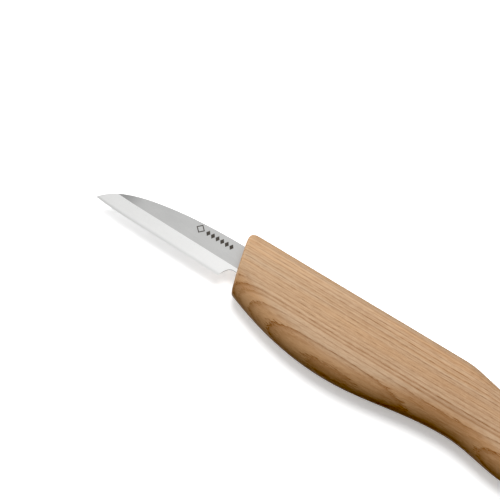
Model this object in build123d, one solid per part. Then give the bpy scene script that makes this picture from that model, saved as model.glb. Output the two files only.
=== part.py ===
from build123d import *

import os
from math import asin, cos, degrees, radians, sin, tan

# Chip carving knife: a short single-edged blade glued into a one-piece ash handle.
# Millimetres. The knife lies on one flat side of its handle, which is Z = 0.
# +X runs from the tip to the butt, +Y is the spine side, -Y the cutting edge and belly side.
# X = 0 is halfway along the handle.

# ---- Handle -----------------------------------------------------------------
thickness = 20.0        # between the two flat sides
spine_y = 13.75         # the straight back of the handle
front_x = -57.75        # where the front face crosses Y = 0
front_lean = 13.3       # degrees, the face's spine end is further forward
front_belly_y = -5.9    # where the belly starts, on the front face
belly_start = 21.0      # degrees, how steeply the belly leaves the front face
belly_x = -18.0         # the deepest point of the belly
belly_y = -13.6
waist_x = 24.0          # the hollow for the little finger
waist_y = -9.4
flare_x = 49.0          # the belly side swells again before the butt
flare_y = -12.4
hump_x = 17.5           # where the straight spine ends
hump_radius = 30.0
droop = 12.5            # degrees, the slope of the spine behind the hump
butt_top_x = 55.0
butt_x = 60.0           # the furthest point of the butt
butt_y = -3.2
butt_bottom_x = 56.5
butt_bottom_y = -12.0

spine_round = 6.0       # roundings along the handle
belly_round = 9.3
front_round = 1.2       # rounding round the front face
butt_round = 5.0        # rounding round the butt

# ---- Blade ------------------------------------------------------------------
blade_thickness = 2.0
tip_x = -110.0
heel_x = -63.2          # the back end of the cutting edge
heel_y = -2.9
edge_rise = 0.9         # degrees, the edge climbs a little towards the tip
tip_curve_x = -95.0     # the last stretch of the edge curves up to the tip
tip_curve_radius = 200.0
bevel_corner = (-104.6, 2.75)   # where the spine line crosses the top of the flat grind
spine_mid = (-88.0, 7.5)        # on the spine, about half way along the blade
spine_mid_slope = 0.165
bevel_width = 4.9       # one flat grind on each side
edge_thickness = 0.16   # what the flat grind alone would leave at the edge
honed_width = 0.7       # the narrow, steeper honed bevel along the edge
honed_thickness = 0.02
neck_bottom_y = 0.8     # the neck is where the blade enters the handle
neck_top_y = 9.4
choil_x = -59.8         # the end of the curve between the heel and the neck

# ---- Tang, slot and glue ----------------------------------------------------
tang_length = 62.0      # measured from where the front face crosses Y = 0
tang_end_height = 5.0
neck_inside = 2.0       # the neck keeps its height this far into the handle
glue_line = 0.25        # round the tang
slot_past_tang = 2.0
glue_recess = 0.8       # the glue stops short of the front face
past = 6.0              # how far a cutting solid runs past the end of what it cuts
spare = 1.0             # and past the sides of a grind

mid_z = thickness / 2
half_blade = blade_thickness / 2
slot_centre_y = (neck_bottom_y + neck_top_y) / 2


def front_point(y):
    """The point of the front face's line at height y."""
    return Vector(front_x - y * tan(radians(front_lean)), y)


def handle_outline():
    """The handle seen from its flat side, with its four corners still sharp."""
    lean = radians(belly_start)
    slope = radians(droop)
    spine_front = front_point(spine_y)
    belly_front = front_point(front_belly_y)
    spine = Line(spine_front, (hump_x, spine_y))
    hump = JernArc(spine @ 1, (1, 0), hump_radius, -droop)
    droop_run = butt_top_x - (hump @ 1).X
    rear = Line(hump @ 1, hump @ 1 + Vector(droop_run, -droop_run * tan(slope)))
    butt = ThreePointArc(rear @ 1, (butt_x, butt_y), (butt_bottom_x, butt_bottom_y))
    tail = Spline(butt @ 1, (flare_x, flare_y), tangents=[(-1, -0.12), (-1, 0)])
    hollow = Spline((flare_x, flare_y), (waist_x, waist_y), tangents=[(-1, 0), (-1, 0)])
    swell = Spline((waist_x, waist_y), (belly_x, belly_y), tangents=[(-1, 0), (-1, 0)])
    belly = Spline((belly_x, belly_y), belly_front, tangents=[(-1, 0), (-cos(lean), sin(lean))])
    front = Line(belly_front, spine_front)
    return make_face([spine, hump, rear, butt, tail, hollow, swell, belly, front])


def handle_body():
    """The solid handle, rounded along its back, its belly and round both ends."""
    body = extrude(handle_outline(), thickness)
    rims = [e for e in body.edges() if abs(e.center().Z - mid_z) > mid_z - 0.01]
    long_rims = [e for e in rims if abs(e.tangent_at(0.5).X) > 0.7]
    spine_rims = [e for e in long_rims if e.center().Y > 0]
    belly_rims = [e for e in long_rims if e.center().Y < 0]
    body = fillet(spine_rims, spine_round)
    belly_rims = [
        e
        for e in body.edges()
        if any((e.center() - old.center()).length < 0.01 for old in belly_rims)
    ]
    body = fillet(belly_rims, belly_round)
    body = fillet(body.faces().sort_by(Axis.X)[0].edges(), front_round)
    return fillet(body.faces().sort_by(Axis.X)[-1].edges(), butt_round)


def tapered_bar(low, high, end_x, end_height, bar_thickness):
    """A flat bar about the mid-plane: straight past the front face, then tapering to end_x."""
    taper_x = front_x + neck_inside
    end_low = slot_centre_y - end_height / 2
    end_high = slot_centre_y + end_height / 2
    outline = Polyline(
        (front_x - past, low),
        (taper_x, low),
        (end_x, end_low),
        (end_x, end_high),
        (taper_x, high),
        (front_x - past, high),
        close=True,
    )
    return extrude(Plane.XY.offset(mid_z) * make_face(outline), bar_thickness / 2, both=True)


def tang_slot():
    """The blind slot for the tang, open at the front face."""
    return tapered_bar(
        neck_bottom_y - glue_line,
        neck_top_y + glue_line,
        front_x + tang_length + slot_past_tang,
        tang_end_height + 2 * glue_line,
        blade_thickness + 2 * glue_line,
    )


def tang_glue(slot, blade):
    """The hardened glue that fills the slot round the tang, a little behind the front face."""
    inward = Vector(cos(radians(front_lean)), sin(radians(front_lean)))
    glue_front = Plane(origin=front_point(0) + inward * glue_recess, z_dir=inward)
    return split(slot, bisect_by=glue_front, keep=Keep.TOP) - blade


def edge_path():
    """The line of the cutting edge on the mid-plane: straight from behind the heel, then an arc
    up to the tip."""
    rise = radians(edge_rise)
    forward = Vector(-cos(rise), sin(rise))
    heel = Vector(heel_x, heel_y, mid_z)
    curve_start = heel + forward * ((heel_x - tip_curve_x) / cos(rise))
    tip_slope = asin(sin(rise) + (tip_curve_x - tip_x) / tip_curve_radius)
    straight = Line(heel - forward * past, curve_start)
    upturn = JernArc(curve_start, forward, tip_curve_radius, edge_rise - degrees(tip_slope))
    return straight, upturn


def grind(width, inner, outer):
    """What a flat grind takes away, on one side and the other: it leaves the half thickness
    inner at the edge, and outer at width from it."""
    straight, upturn = edge_path()
    beyond_tip = Line(upturn @ 1, upturn @ 1 + (upturn % 1) * past)
    slope = (outer - inner) / width
    reach = 2 * half_blade
    section = Polyline(
        (-spare, inner - slope * spare),
        (width + spare, outer + slope * spare),
        (width + spare, outer + reach),
        (-spare, inner + reach),
        close=True,
    )
    start = Plane(origin=straight @ 0, x_dir=(0, 1, 0), z_dir=straight % 0)
    cut = sweep(start * make_face(section), Wire([straight, upturn, beyond_tip]))
    return cut, mirror(cut, Plane.XY.offset(mid_z))


def blade_outline():
    """Blade and tang in one outline, with the bellied spine running down to the tip."""
    to_plan = Vector(0, 0, -mid_z)
    straight, upturn = edge_path()
    curve_start = upturn @ 0 + to_plan
    tip = upturn @ 1 + to_plan
    tang_end = front_x + tang_length
    low_end = Vector(tang_end, slot_centre_y - tang_end_height / 2)
    high_end = Vector(tang_end, slot_centre_y + tang_end_height / 2)
    neck_low = Vector(front_x + neck_inside, neck_bottom_y)
    neck_high = Vector(front_x + neck_inside, neck_top_y)
    choil_end = Vector(choil_x, neck_bottom_y)

    edge = Line((heel_x, heel_y), curve_start)
    tip_edge = TangentArc(curve_start, tip, tangent=upturn % 0)
    nose = Spline(tip, bevel_corner, spine_mid, tangents=[(0.6, 0.8), (1, spine_mid_slope)])
    spine = Spline(spine_mid, neck_high, tangents=[(1, spine_mid_slope), (1, 0)])
    tang_top = Line(neck_high, high_end)
    tang_butt = Line(high_end, low_end)
    tang_bottom = Line(low_end, neck_low)
    neck = Line(neck_low, choil_end)
    choil = Spline(choil_end, (heel_x, heel_y), tangents=[(-1, -0.15), (-0.7, -1)])
    return make_face([edge, tip_edge, nose, spine, tang_top, tang_butt, tang_bottom, neck, choil])


def make_blade():
    """The ground blade with its tang."""
    half_edge = edge_thickness / 2
    grind_slope = (half_blade - half_edge) / bevel_width
    honed_top = half_edge + grind_slope * honed_width
    blade = extrude(Plane.XY.offset(mid_z) * blade_outline(), half_blade, both=True)
    for cut in grind(bevel_width, half_edge, half_blade):
        blade = blade - cut
    for cut in grind(honed_width, honed_thickness / 2, honed_top):
        blade = blade - cut
    return blade


blade = make_blade()
slot = tang_slot()
parts = {
    "blade": blade,
    "handle": handle_body() - slot,
    "tang_epoxy": tang_glue(slot, blade),
}

os.makedirs("parts", exist_ok=True)
for name, shape in parts.items():
    export_step(shape, f"parts/{name}.step")
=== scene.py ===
import math

import bmesh
import bpy
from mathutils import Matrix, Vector, noise


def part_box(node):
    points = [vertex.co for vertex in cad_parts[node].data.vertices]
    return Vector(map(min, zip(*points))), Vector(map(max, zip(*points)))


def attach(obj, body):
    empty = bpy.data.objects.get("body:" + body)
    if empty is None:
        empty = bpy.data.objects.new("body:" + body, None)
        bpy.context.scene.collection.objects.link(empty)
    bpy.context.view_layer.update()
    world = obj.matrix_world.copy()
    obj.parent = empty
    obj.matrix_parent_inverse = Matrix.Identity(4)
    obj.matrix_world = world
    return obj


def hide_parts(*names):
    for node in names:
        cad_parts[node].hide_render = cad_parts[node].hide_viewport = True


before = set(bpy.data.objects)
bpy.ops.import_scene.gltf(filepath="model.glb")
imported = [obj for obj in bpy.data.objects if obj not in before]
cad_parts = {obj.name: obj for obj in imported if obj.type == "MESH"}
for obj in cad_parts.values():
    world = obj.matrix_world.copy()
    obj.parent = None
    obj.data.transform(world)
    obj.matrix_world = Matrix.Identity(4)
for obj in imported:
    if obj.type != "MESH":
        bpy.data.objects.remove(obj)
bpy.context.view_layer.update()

MM = 0.001
handle_low, handle_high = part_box("handle")
blade_low, blade_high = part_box("blade")
BLADE_TOP = blade_high.z

# ---- Camera: where the viewer stands, degrees and metres ---------------------
VIEW_AZIMUTH = 31.53
VIEW_ELEVATION = 78.0
VIEW_DISTANCE = 0.542
VIEW_TARGET = Vector((blade_low.x + 50.2 * MM, 11.2 * MM, 0))
LENS = 120.0

# ---- Light: it comes from overhead, a little from the spine side ---------------
KEY_PLACE = Vector((-0.10, 0.225, 1.0))
KEY_SIZE = 0.34             # metres across
KEY_POWER = 6.32            # watts
SOFTBOX_AXIS = Vector((-0.05, 0.24, 0.97)).normalized()     # the way to the sky's bright middle
BLACK_LEVEL = 0.040         # the brightness that is shown as black

# ---- How brightly the paper glows, a painted light that lightens its shadows, from the blade's tip to the handle ---
GLOW_TIP = 0.18             # at the tip, from where it rises slowly
GLOW_BLADE = 0.30           # what that rise would reach at the handle's front
GLOW_NECK = 0.24            # the start of a steeper rise near the handle
GLOW_FRONT = 0.37           # what that one reaches at the handle's front
GLOW_HANDLE = 0.27          # beside the handle
NECK_RUN = 16.0             # millimetres, how far before the handle the steeper rise starts

# ---- Wood, millimetres ---------------------------------------------------------
RING_TILT = 56.7            # degrees, how far the rings' normal leans from up to the belly
RING_START = 12.2           # how deep one ring lies, measured along that normal
RING_PITCH = 1.15           # between growth rings, towards the spine
WIDE_PITCH = 1.98           # and beyond the first ring, towards the belly
FALSE_RING = 0.95           # how far beyond the first ring a thin false ring lies
TREE_RADIUS = 400.0         # the rings' own curvature
RING_WANDER = 0.8           # how far the rings stray from even sheets
RING_FRAY = 0.80            # how ragged they are where the surface lies along them
ARCHES_BOLD = 22.0          # behind the handle's front, how far the arches stay bold
ARCHES_FADE = 50.0          # and where they have faded
ASH_PINK = (0.492, 0.358, 0.246, 1)         # the two light tones that run in bands
ASH_GOLD = (0.518, 0.340, 0.207, 1)
ASH_DARK = (0.215, 0.100, 0.044, 1)         # rings, pores and streaks
ASH_END = (0.26, 0.135, 0.055, 1)           # where the fibres run out of the surface
# Painted shade: the next tint darkens and warms the wood where the surface lies along the rings,
# such as the belly's rounding.
ASH_BELLY_SHADE = (1.04, 0.89, 0.74, 1)       # tints the wood where it lies along the rings
GRIT_GRAIN = 0.4 * MM       # how finely the sanded handle's surface is divided
CORNER_REACH = 3.4 * MM     # how far the sanding of the front spine corner reaches
CORNER_PASSES = 40
UNEVENNESS = 0.05 * MM      # how far the sanded surface strays
UNEVEN_GRAIN = 18 * MM      # and the size of its waves

# ---- Steel -------------------------------------------------------------------
ARRIS = 0.07 * MM           # the width of the eased edges
FLAT_NORMAL = 0.995         # faces that look up less than this are not the flat sides
GRIND_NORMAL = 0.975        # and less than this, not the flat grind
HONED_NORMAL = 0.93         # and less than this, not the honed bevel

# ---- Etched mark, millimetres --------------------------------------------------
MARK_START = 34.4           # from the tip to the middle of the open lozenge
MARK_HEIGHT = 6.9           # of the mark's middle line above Y = 0
MARK_DEPTH = 0.012          # how thick the oxide stands on the steel
MARK_RING = (1.55, 1.50)    # the open lozenge's half width and half height
MARK_LOZENGE = (0.75, 1.00) # and a small one's
MARK_LINE = 0.45            # the open lozenge's line, measured along its diagonals
MARK_COUNT = 6
MARK_GAP = 2.85             # from the open lozenge to the first small one
MARK_PITCH = 1.73           # between small ones


# ==== Node helpers ============================================================
class Tree:
    """A material's node tree, with one short call for each kind of node."""

    def __init__(self, owner):
        owner.use_nodes = True
        self.nodes = owner.node_tree.nodes
        self.links = owner.node_tree.links
        self.nodes.clear()

    def add(self, kind, inputs=(), **settings):
        node = self.nodes.new("ShaderNode" + kind)
        for name, value in settings.items():
            setattr(node, name, value)
        for name, value in dict(inputs).items():
            self.put(node.inputs[name], value)
        return node

    def put(self, socket, value):
        if isinstance(value, bpy.types.NodeSocket):
            self.links.new(value, socket)
        else:
            socket.default_value = value

    def math(self, operation, *values, clamp=False):
        node = self.add("Math", enumerate(values), operation=operation, use_clamp=clamp)
        return node.outputs[0]

    def vector(self, operation, *values):
        node = self.add("VectorMath", enumerate(values), operation=operation)
        return node.outputs["Value" if operation in ("DOT_PRODUCT", "LENGTH") else "Vector"]

    def noise(self, vector, stretch, detail=2.0, roughness=0.5):
        """Noise between 0 and 1, with stretch cycles per unit along each axis."""
        scaled = self.vector("MULTIPLY", vector, stretch)
        settings = {"Vector": scaled, "Scale": 1.0, "Detail": detail, "Roughness": roughness}
        return self.add("TexNoise", settings).outputs["Fac"]

    def centred(self, value, amount):
        """A 0 to 1 value moved to lie about zero, amount to each side."""
        return self.math("MULTIPLY", self.math("SUBTRACT", value, 0.5), 2 * amount)

    def span(self, value, start, end, first, last, interpolation="LINEAR"):
        """From first, where value is start, to last, where it is end, and level beyond."""
        settings = {"Value": value, "From Min": start, "From Max": end, "To Min": first,
                    "To Max": last}
        return self.add("MapRange", settings, interpolation_type=interpolation).outputs[0]

    def ramp(self, value, stops, interpolation="LINEAR"):
        node = self.add("ValToRGB", {"Fac": value})
        elements = node.color_ramp.elements
        node.color_ramp.interpolation = interpolation
        while len(elements) < len(stops):
            elements.new(0.5)
        for element, (place, shade) in zip(elements, stops):
            element.position = place
            element.color = shade if isinstance(shade, tuple) else (shade, shade, shade, 1)
        return node.outputs["Color"]

    def mix(self, factor, first, second, blend="MIX"):
        node = self.add("Mix", data_type="RGBA", blend_type=blend)
        self.put(node.inputs[0], factor)
        self.put(node.inputs[6], first)
        self.put(node.inputs[7], second)
        return node.outputs[2]

    def bump(self, height, distance, strength=1.0, normal=None):
        settings = {"Height": height, "Distance": distance, "Strength": strength}
        if normal is not None:
            settings["Normal"] = normal
        return self.add("Bump", settings).outputs["Normal"]

    def millimetres(self):
        place = self.add("TexCoord").outputs["Object"]
        return self.vector("MULTIPLY", place, (1000, 1000, 1000))

    def finish(self, **inputs):
        """The principled shader and the output. Names are given with underscores."""
        named = {name.replace("_", " "): value for name, value in inputs.items()}
        shader = self.add("BsdfPrincipled", named)
        output = self.add("OutputMaterial")
        self.links.new(shader.outputs[0], output.inputs["Surface"])


# ==== Materials ===============================================================
def across_rings(t, grain, normal):
    """How deep a point lies, measured straight across the rings and as the wood grew, and how
    nearly the surface lies along the rings, from 0 to 1."""
    tilt = math.radians(RING_TILT)
    inward = (0, -math.sin(tilt), math.cos(tilt))
    along_ring = (0, math.cos(tilt), math.sin(tilt))
    depth = t.vector("DOT_PRODUCT", grain, inward)
    aside = t.vector("DOT_PRODUCT", grain, along_ring)
    bow = t.math("MULTIPLY", t.math("MULTIPLY", aside, aside), 0.5 / TREE_RADIUS)
    facing = t.math("ABSOLUTE", t.vector("DOT_PRODUCT", normal, inward))
    flat_sawn = t.ramp(facing, [(0.70, 0.0), (0.95, 1.0)], "EASE")
    wander = t.centred(t.noise(grain, (0.012, 0.07, 0.07), 2.0), RING_WANDER)
    fray = t.centred(t.noise(grain, (0.30, 2.6, 2.6), 3.0, 0.65), RING_FRAY)
    fray = t.math("MULTIPLY", fray, t.math("MULTIPLY_ADD", flat_sawn, 0.88, 0.12))
    place = t.math("ADD", t.math("ADD", depth, bow), t.math("ADD", wander, fray))
    return depth, place, flat_sawn


def growth_rings(t, from_front, depth, place, flat_sawn):
    """The rings' darkness, and where their open early wood lies, both from 0 to 1."""
    beyond = t.math("SUBTRACT", place, RING_START)
    phase = t.math("ADD", t.math("DIVIDE", t.math("MINIMUM", beyond, 0.0), RING_PITCH),
                   t.math("DIVIDE", t.math("MAXIMUM", beyond, 0.0), WIDE_PITCH))
    uneven = t.add("TexNoise", {"W": place, "Scale": 0.4, "Detail": 1.0},
                   noise_dimensions="1D").outputs["Fac"]
    phase = t.math("ADD", phase, t.centred(uneven, 0.22))
    # The wide rings keep the line width of the narrow ones.
    widen = t.span(beyond, -0.01, 0.01, 1.0, WIDE_PITCH / RING_PITCH)
    within = t.math("MULTIPLY", t.math("FRACT", phase), widen)
    crisp = t.ramp(within, [(0.0, 0.15), (0.08, 1.0), (0.22, 0.60), (0.40, 0.14), (0.80, 0.0)])
    soft = t.ramp(within, [(0.0, 0.0), (0.11, 1.0), (0.24, 0.62), (0.50, 0.20), (1.0, 0.0)])
    early = t.mix(flat_sawn, crisp, soft)

    number = t.math("FLOOR", phase)
    every_second = t.math("MULTIPLY", t.math("COSINE", t.math("MULTIPLY", number, math.pi)), 0.05)
    strength = t.add("TexWhiteNoise", {"W": number}, noise_dimensions="1D").outputs["Value"]
    strength = t.math("ADD", t.math("MULTIPLY_ADD", strength, 0.28, 0.62), every_second)
    # Rings are fainter towards the spine and in the belly's outermost wood. The arches, where
    # the surface lies along them, are bolder near the handle's front.
    fading = t.math("MINIMUM", t.span(depth, 3.0, 12.0, 0.55, 0.82),
                    t.span(depth, 16.4, 17.8, 1.0, 0.50))
    bold = t.span(from_front, ARCHES_BOLD, ARCHES_FADE, 0.70, 0.0)
    fading = t.math("MULTIPLY", fading, t.math("MULTIPLY_ADD", flat_sawn, bold, 1.0))
    strength = t.math("MULTIPLY", strength, fading)

    from_false_ring = t.math("ABSOLUTE", t.math("SUBTRACT", beyond, FALSE_RING))
    ring = t.math("MAXIMUM", t.math("MULTIPLY", early, strength),
                  t.span(from_false_ring, 0.0, 0.30, 0.60, 0.0))
    return ring, early


def ash_wood():
    """Oiled ash: growth rings as sheets through the solid, open pores and fine fibres."""
    material = bpy.data.materials.new("oiled_ash")
    t = Tree(material)
    grain = t.millimetres()
    normal = t.add("NewGeometry").outputs["Normal"]
    x, y, _ = t.add("SeparateXYZ", {"Vector": grain}).outputs
    from_front = t.math("SUBTRACT", x, handle_low.x / MM)
    depth, place, flat_sawn = across_rings(t, grain, normal)
    ring, early = growth_rings(t, from_front, depth, place, flat_sawn)

    veins = t.add("TexNoise", {"W": place, "Scale": 1.6, "Detail": 2.0, "Roughness": 0.7},
                  noise_dimensions="1D").outputs["Fac"]
    veins = t.ramp(veins, [(0.46, 0.0), (0.64, 1.0)])
    pores = t.noise(grain, (0.24, 6.0, 6.0), 2.0, 0.6)
    pores = t.ramp(pores, [(0.52, 0.0), (0.66, 1.0)])
    pores = t.math("MULTIPLY", pores, t.math("MULTIPLY_ADD", early, 0.75, 0.25))
    fibres = t.noise(grain, (0.30, 2.6, 2.6), 3.0, 0.7)
    streaks = t.noise(grain, (0.03, 1.1, 1.1), 2.0)
    clouds = t.noise(grain, (0.02, 0.09, 0.09), 2.0)
    # The wood is darker towards the butt, and darker still at the belly's front corner.
    darker_to_butt = t.span(from_front, 8, 75, 0.0, 0.19)
    darker_belly_front = t.math("MULTIPLY", t.span(from_front, 0, 12, 0.20, 0.0), t.span(y, -5, -9, 0, 1))

    dark = t.math("MULTIPLY_ADD", ring, 0.60, t.math("ADD", darker_to_butt, darker_belly_front))
    dark = t.math("MULTIPLY_ADD", veins, 0.14, dark)
    dark = t.math("MULTIPLY_ADD", pores, 0.28, dark)
    dark = t.math("ADD", dark, t.centred(fibres, 0.44))
    dark = t.math("ADD", dark, t.centred(streaks, 0.20))
    dark = t.math("ADD", dark, t.centred(clouds, 0.08), clamp=True)
    golden = t.ramp(t.noise(grain, (0.012, 0.28, 0.28), 2.0), [(0.35, 0.0), (0.65, 1.0)])
    golden = t.math("MULTIPLY", golden, t.span(y, -6, 5, 0.2, 1.0))
    light = t.mix(golden, ASH_PINK, ASH_GOLD)
    colour = t.mix(dark, light, ASH_DARK)
    # Painted shade: where the surface lies along the rings, such as on the belly's rounding, the
    # wood is tinted darker and warmer.
    colour = t.mix(flat_sawn, colour, t.mix(1.0, colour, ASH_BELLY_SHADE, "MULTIPLY"))
    runout = t.math("ABSOLUTE", t.add("SeparateXYZ", {"Vector": normal}).outputs[0])
    end_grain = t.math("MULTIPLY", t.math("POWER", runout, 3.0), 0.22)
    colour = t.mix(end_grain, colour, ASH_END)

    height = t.math("MULTIPLY_ADD", pores, -1.0, t.math("MULTIPLY", ring, -0.45))
    height = t.math("ADD", height, t.centred(fibres, 0.25))
    rough = t.math("MULTIPLY_ADD", pores, 0.18, t.math("MULTIPLY_ADD", fibres, 0.16, 0.50))
    t.finish(Base_Color=colour, Roughness=rough, Specular_IOR_Level=0.01,
             Normal=t.bump(height, 0.00005))
    return material


def steel(name, tone, roughness, lines, line_tone, relief, tip_shade=0.0):
    """Ground steel. lines is how many grinding lines cross a millimetre along each axis.
    The tone is painted darker towards the tip, a painted shade in the steel's reflection, and by
    tip_shade darker still in the last stretch."""
    material = bpy.data.materials.new(name)
    t = Tree(material)
    place = t.millimetres()
    scratches = t.noise(place, lines, 3.0, 0.65)
    haze = t.noise(place, (0.12, 0.3, 0.3), 3.0, 0.6)
    spots = t.noise(place, (2.2, 2.2, 2.2), 2.0, 0.6)
    x = t.add("SeparateXYZ", {"Vector": place}).outputs[0]
    tip = blade_low.x / MM
    # Painted shade: the reflection is darker towards the tip, and darker still in the last stretch.
    tone_with_tip_shade = t.math("SUBTRACT", t.span(x, tip, handle_low.x / MM, 0.84 * tone, tone),
                      t.span(x, tip + 7, tip + 15, tip_shade, 0.0, "SMOOTHSTEP"))
    shade = t.math("ADD", t.centred(scratches, line_tone), t.centred(haze, 0.05))
    shade = t.math("ADD", t.math("ADD", shade, t.centred(spots, 0.02)), tone_with_tip_shade)
    colour = t.add("CombineColor", {"Red": shade, "Green": shade,
                                    "Blue": t.math("MULTIPLY", shade, 0.99)}).outputs[0]
    rough = t.math("ADD", t.centred(scratches, 0.05), t.centred(haze, 0.05))
    rough = t.math("ADD", rough, roughness)
    t.finish(Base_Color=colour, Metallic=1.0, Roughness=rough,
             Normal=t.bump(scratches, relief))
    return material


def amber_glue():
    """Hardened glue, slightly cloudy."""
    material = bpy.data.materials.new("amber_glue")
    t = Tree(material)
    cloud = t.noise(t.millimetres(), (0.8, 0.8, 0.8), 3.0)
    colour = t.mix(cloud, (0.16, 0.075, 0.02, 1), (0.34, 0.19, 0.07, 1))
    t.finish(Base_Color=colour, Roughness=t.math("MULTIPLY_ADD", cloud, 0.2, 0.18),
             Normal=t.bump(cloud, 0.0001))
    return material


def etched_black():
    """The dark oxide that an electric etch leaves."""
    material = bpy.data.materials.new("etched_black")
    t = Tree(material)
    grit = t.noise(t.millimetres(), (9, 9, 9), 2.0)
    colour = t.mix(grit, (0.035, 0.032, 0.030, 1), (0.11, 0.10, 0.09, 1))
    t.finish(Base_Color=colour, Roughness=0.75, Normal=t.bump(grit, 0.00002))
    return material


def studio_floor():
    """White studio paper that glows a little, a painted light that lightens the shadows on it, most
    at the handle's front.
    """
    material = bpy.data.materials.new("studio_paper")
    t = Tree(material)
    place = t.millimetres()
    fibre = t.noise(place, (0.4, 0.4, 0.4), 3.0)
    colour = t.mix(fibre, (0.93, 0.93, 0.93, 1), (0.96, 0.96, 0.96, 1))
    x = t.add("SeparateXYZ", {"Vector": place}).outputs[0]
    front = handle_low.x / MM
    # Painted light: the glow lightens the shadows that the blade and handle cast on the paper.
    glow = t.math("MAXIMUM", t.span(x, blade_low.x / MM, front, GLOW_TIP, GLOW_BLADE),
                  t.span(x, front - NECK_RUN, front, GLOW_NECK, GLOW_FRONT))
    glow = t.math("MINIMUM", glow,
                  t.span(x, front - 2, front + 8, GLOW_FRONT, GLOW_HANDLE, "SMOOTHSTEP"))
    far = t.span(t.vector("LENGTH", place), 150, 600, 0.0, 1.0, "SMOOTHSTEP")
    glow = t.math("ADD", glow, far)
    t.finish(Base_Color=colour, Roughness=0.9, Specular_IOR_Level=0.0,
             Emission_Color=(1, 1, 1, 1), Emission_Strength=glow)
    return material


# ==== Geometry ================================================================
def new_piece(name, bm, *materials):
    mesh = bpy.data.meshes.new(name)
    bm.to_mesh(mesh)
    bm.free()
    for material in materials:
        mesh.materials.append(material)
    piece = bpy.data.objects.new(name, mesh)
    bpy.context.scene.collection.objects.link(piece)
    return piece


def welded_copy(node):
    """The CAD node's mesh with its doubled vertices joined, as a bmesh."""
    bm = bmesh.new()
    bm.from_mesh(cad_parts[node].data)
    bmesh.ops.remove_doubles(bm, verts=bm.verts, dist=1e-6)
    return bm


def carve_blade():
    """The blade with its arrises eased, and one material for each kind of ground face."""
    bm = welded_copy("blade")
    bmesh.ops.dissolve_limit(bm, angle_limit=math.radians(0.2), verts=bm.verts, edges=bm.edges)
    arrises = [e for e in bm.edges if is_arris(e)]
    bmesh.ops.bevel(bm, geom=arrises, offset=ARRIS, segments=2, profile=0.5, affect="EDGES")
    # Each kind of face has its own finish, and its tone also paints in light: the grind and honed
    # bevel are painted near white as a painted reflection, and the upright walls darker as painted
    # shade.
    flat = steel("satin_steel", 0.57, 0.34, (0.35, 9, 9), 0.05, 0.000004, tip_shade=0.16)
    ground = steel("ground_steel", 0.97, 0.30, (7, 0.4, 0.4), 0.03, 0.0000015)
    honed = steel("honed_steel", 0.99, 0.32, (2, 0.5, 0.5), 0.02, 0.000001)
    walls = steel("edge_steel", 0.48, 0.40, (1.5, 6, 6), 0.05, 0.000003)
    for face in bm.faces:
        face.smooth = False
        up = abs(face.normal.z)
        limits = (FLAT_NORMAL, GRIND_NORMAL, HONED_NORMAL)
        face.material_index = sum(up < limit for limit in limits)
    piece = new_piece("blade_ground", bm, flat, ground, honed, walls)
    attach(piece, "root")
    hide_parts("blade")
    return piece


def is_arris(edge):
    """True along the spine, the neck and the tang, where a flat side meets an upright wall."""
    if len(edge.link_faces) != 2:
        return False
    ups = sorted(abs(face.normal.z) for face in edge.link_faces)
    return ups[0] < 0.3 and ups[1] > GRIND_NORMAL


def sand_handle(wood):
    """The handle as a finely divided skin on the CAD surface, its front spine corner sanded
    rounder and the whole a little uneven."""
    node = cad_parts["handle"]
    bm = welded_copy("handle")
    rough = new_piece("handle_rough", bm)
    remesh = rough.modifiers.new("grit", "REMESH")
    remesh.mode = "VOXEL"
    remesh.voxel_size = GRIT_GRAIN
    wrap = rough.modifiers.new("surface", "SHRINKWRAP")
    wrap.target = node
    wrap.wrap_method = "NEAREST_SURFACEPOINT"
    graph = bpy.context.evaluated_depsgraph_get()
    skin = bpy.data.meshes.new_from_object(rough.evaluated_get(graph))
    bpy.data.objects.remove(rough)

    bm = bmesh.new()
    bm.from_mesh(skin)
    bpy.data.meshes.remove(skin)
    round_corner(bm, Vector((handle_low.x, handle_high.y)))
    for vert in bm.verts:
        place = vert.co / UNEVEN_GRAIN
        vert.co += vert.normal * (UNEVENNESS * noise.noise(place))
        vert.co.z = max(vert.co.z, 0)
    for face in bm.faces:
        face.smooth = True
    piece = new_piece("handle_sanded", bm, wood)
    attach(piece, "root")
    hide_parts("handle")
    return piece


def round_corner(bm, corner):
    """Sand the surface smooth round an upright corner, most at the corner itself."""
    near = []
    for vert in bm.verts:
        away = (Vector((vert.co.x, vert.co.y)) - corner).length / CORNER_REACH
        if away < 1:
            near.append((vert, [e.other_vert(vert) for e in vert.link_edges], (1 - away ** 2) ** 2))
    for _ in range(CORNER_PASSES):
        moved = [vert.co.lerp(sum((n.co for n in ring), Vector()) / len(ring), 0.5 * share)
                 for vert, ring, share in near]
        for (vert, _, _), place in zip(near, moved):
            vert.co = place


def etched_mark():
    """A plain generic ornament on the blade's flat: one open lozenge and a row of small ones."""
    bm = bmesh.new()
    x = blade_low.x / MM + MARK_START
    lozenge_ring(bm, x, MARK_RING, MARK_LINE)
    for step in range(MARK_COUNT):
        lozenge(bm, x + MARK_GAP + MARK_PITCH * step, MARK_LOZENGE)
    piece = new_piece("etched_mark", bm, etched_black())
    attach(piece, "root")
    return piece


def lozenge_corners(x, half_size):
    half_width, half_height = half_size
    return [(x - half_width, 0), (x, -half_height), (x + half_width, 0), (x, half_height)]


def mark_vert(bm, corner, z):
    return bm.verts.new((corner[0] * MM, (MARK_HEIGHT + corner[1]) * MM, z))


def lozenge(bm, x, half_size):
    corners = lozenge_corners(x, half_size)
    low = [mark_vert(bm, c, BLADE_TOP) for c in corners]
    high = [mark_vert(bm, c, BLADE_TOP + MARK_DEPTH * MM) for c in corners]
    bm.faces.new(low[::-1])
    bm.faces.new(high)
    for a in range(4):
        b = (a + 1) % 4
        bm.faces.new((low[a], low[b], high[b], high[a]))


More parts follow.
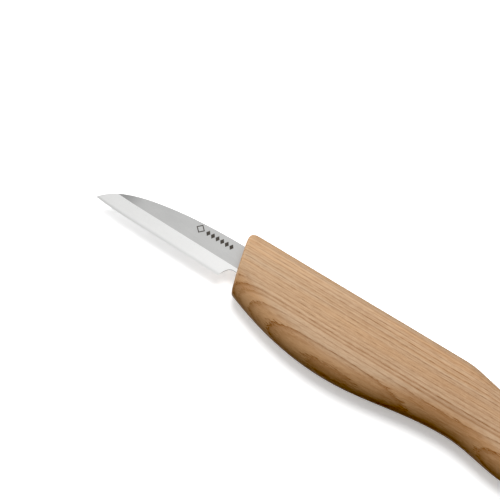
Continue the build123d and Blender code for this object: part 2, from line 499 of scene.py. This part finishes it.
def lozenge_ring(bm, x, half_size, line):
    """A lozenge outline, line wide measured along its diagonals."""
    outer = lozenge_corners(x, half_size)
    inner = lozenge_corners(x, [half - line for half in half_size])
    rows = [[mark_vert(bm, c, z) for c in corners]
            for corners, z in ((outer, BLADE_TOP), (outer, BLADE_TOP + MARK_DEPTH * MM),
                               (inner, BLADE_TOP + MARK_DEPTH * MM), (inner, BLADE_TOP))]
    for row, after in zip(rows, rows[1:] + rows[:1]):
        for a in range(4):
            b = (a + 1) % 4
            bm.faces.new((row[a], row[b], after[b], after[a]))


def dress_glue():
    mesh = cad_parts["tang_epoxy"].data
    mesh.materials.clear()
    mesh.materials.append(amber_glue())


# ==== Studio ==================================================================
def studio():
    bm = bmesh.new()
    bmesh.ops.create_grid(bm, x_segments=1, y_segments=1, size=4.0)
    floor = new_piece("floor", bm, studio_floor())
    floor.visible_diffuse = False
    studio_sky()
    key_light()


def studio_sky():
    """A soft box overhead, with weaker light from behind. Polished surfaces mirror it with pale
    cards low down all round. On the others it casts more light from both ends, less from the
    belly side, and some back from the paper below."""
    world = bpy.data.worlds.new("studio_sky")
    bpy.context.scene.world = world
    t = Tree(world)
    direction = t.add("TexCoord").outputs["Generated"]
    overhead = t.vector("DOT_PRODUCT", direction, tuple(SOFTBOX_AXIS))
    x, y, z = t.add("SeparateXYZ", {"Vector": direction}).outputs
    level = t.ramp(overhead, [(0.0, 0.03), (0.55, 0.12), (0.80, 0.85), (0.90, 1.0)], "EASE")
    behind = t.ramp(y, [(0.0, 0.0), (0.6, 0.25)], "EASE")
    cards = t.ramp(z, [(0.0, 0.50), (0.45, 0.35), (0.70, 0.0)], "EASE")
    sky = t.mix(1.0, level, behind, "ADD")
    mirrored = t.mix(1.0, sky, cards, "LIGHTEN")

    ends = t.math("ADD", t.span(x, -0.6, -1.0, 0.0, 3.2, "SMOOTHSTEP"),
                  t.span(x, 0.4, 0.9, 0.0, 0.18, "SMOOTHSTEP"))
    belly_side = t.span(y, -0.1, -0.6, 1.0, 0.17, "SMOOTHSTEP")
    paper = t.span(z, -0.55, -0.95, 0.0, 0.75, "SMOOTHSTEP")
    cast = t.mix(1.0, t.mix(1.0, sky, ends, "ADD"), belly_side, "MULTIPLY")
    cast = t.mix(1.0, cast, paper, "ADD")
    seen = t.mix(t.add("LightPath").outputs["Is Glossy Ray"], cast, mirrored)
    background = t.add("Background", {"Color": seen})
    output = t.add("OutputWorld")
    t.links.new(background.outputs[0], output.inputs["Surface"])


def key_light():
    data = bpy.data.lights.new("key", "AREA")
    data.shape = "DISK"
    data.size = KEY_SIZE
    data.energy = KEY_POWER
    light = bpy.data.objects.new("key", data)
    light.location = KEY_PLACE
    light.rotation_mode = "QUATERNION"
    light.rotation_quaternion = (-KEY_PLACE).to_track_quat("-Z", "Y")
    light.visible_camera = False
    light.visible_glossy = False
    bpy.context.scene.collection.objects.link(light)


def camera():
    azimuth, elevation = math.radians(VIEW_AZIMUTH), math.radians(VIEW_ELEVATION)
    back = Vector((math.sin(azimuth) * math.cos(elevation),
                   -math.cos(azimuth) * math.cos(elevation),
                   math.sin(elevation)))
    data = bpy.data.cameras.new("camera")
    data.lens = LENS
    data.clip_start, data.clip_end = 0.01, 20
    viewer = bpy.data.objects.new("camera", data)
    viewer.location = VIEW_TARGET + back * VIEW_DISTANCE
    viewer.rotation_mode = "QUATERNION"
    viewer.rotation_quaternion = (-back).to_track_quat("-Z", "Y")
    bpy.context.scene.collection.objects.link(viewer)
    bpy.context.scene.camera = viewer


def deepen_shade():
    """The plain view transform, with the darkest tones pulled down as in a studio print."""
    view = bpy.context.scene.view_settings
    view.view_transform = "Standard"
    view.use_curve_mapping = True
    view.curve_mapping.black_level = (BLACK_LEVEL, BLACK_LEVEL, BLACK_LEVEL)
    view.curve_mapping.update()


carve_blade()
etched_mark()
sand_handle(ash_wood())
dress_glue()
studio()
camera()
deepen_shade()
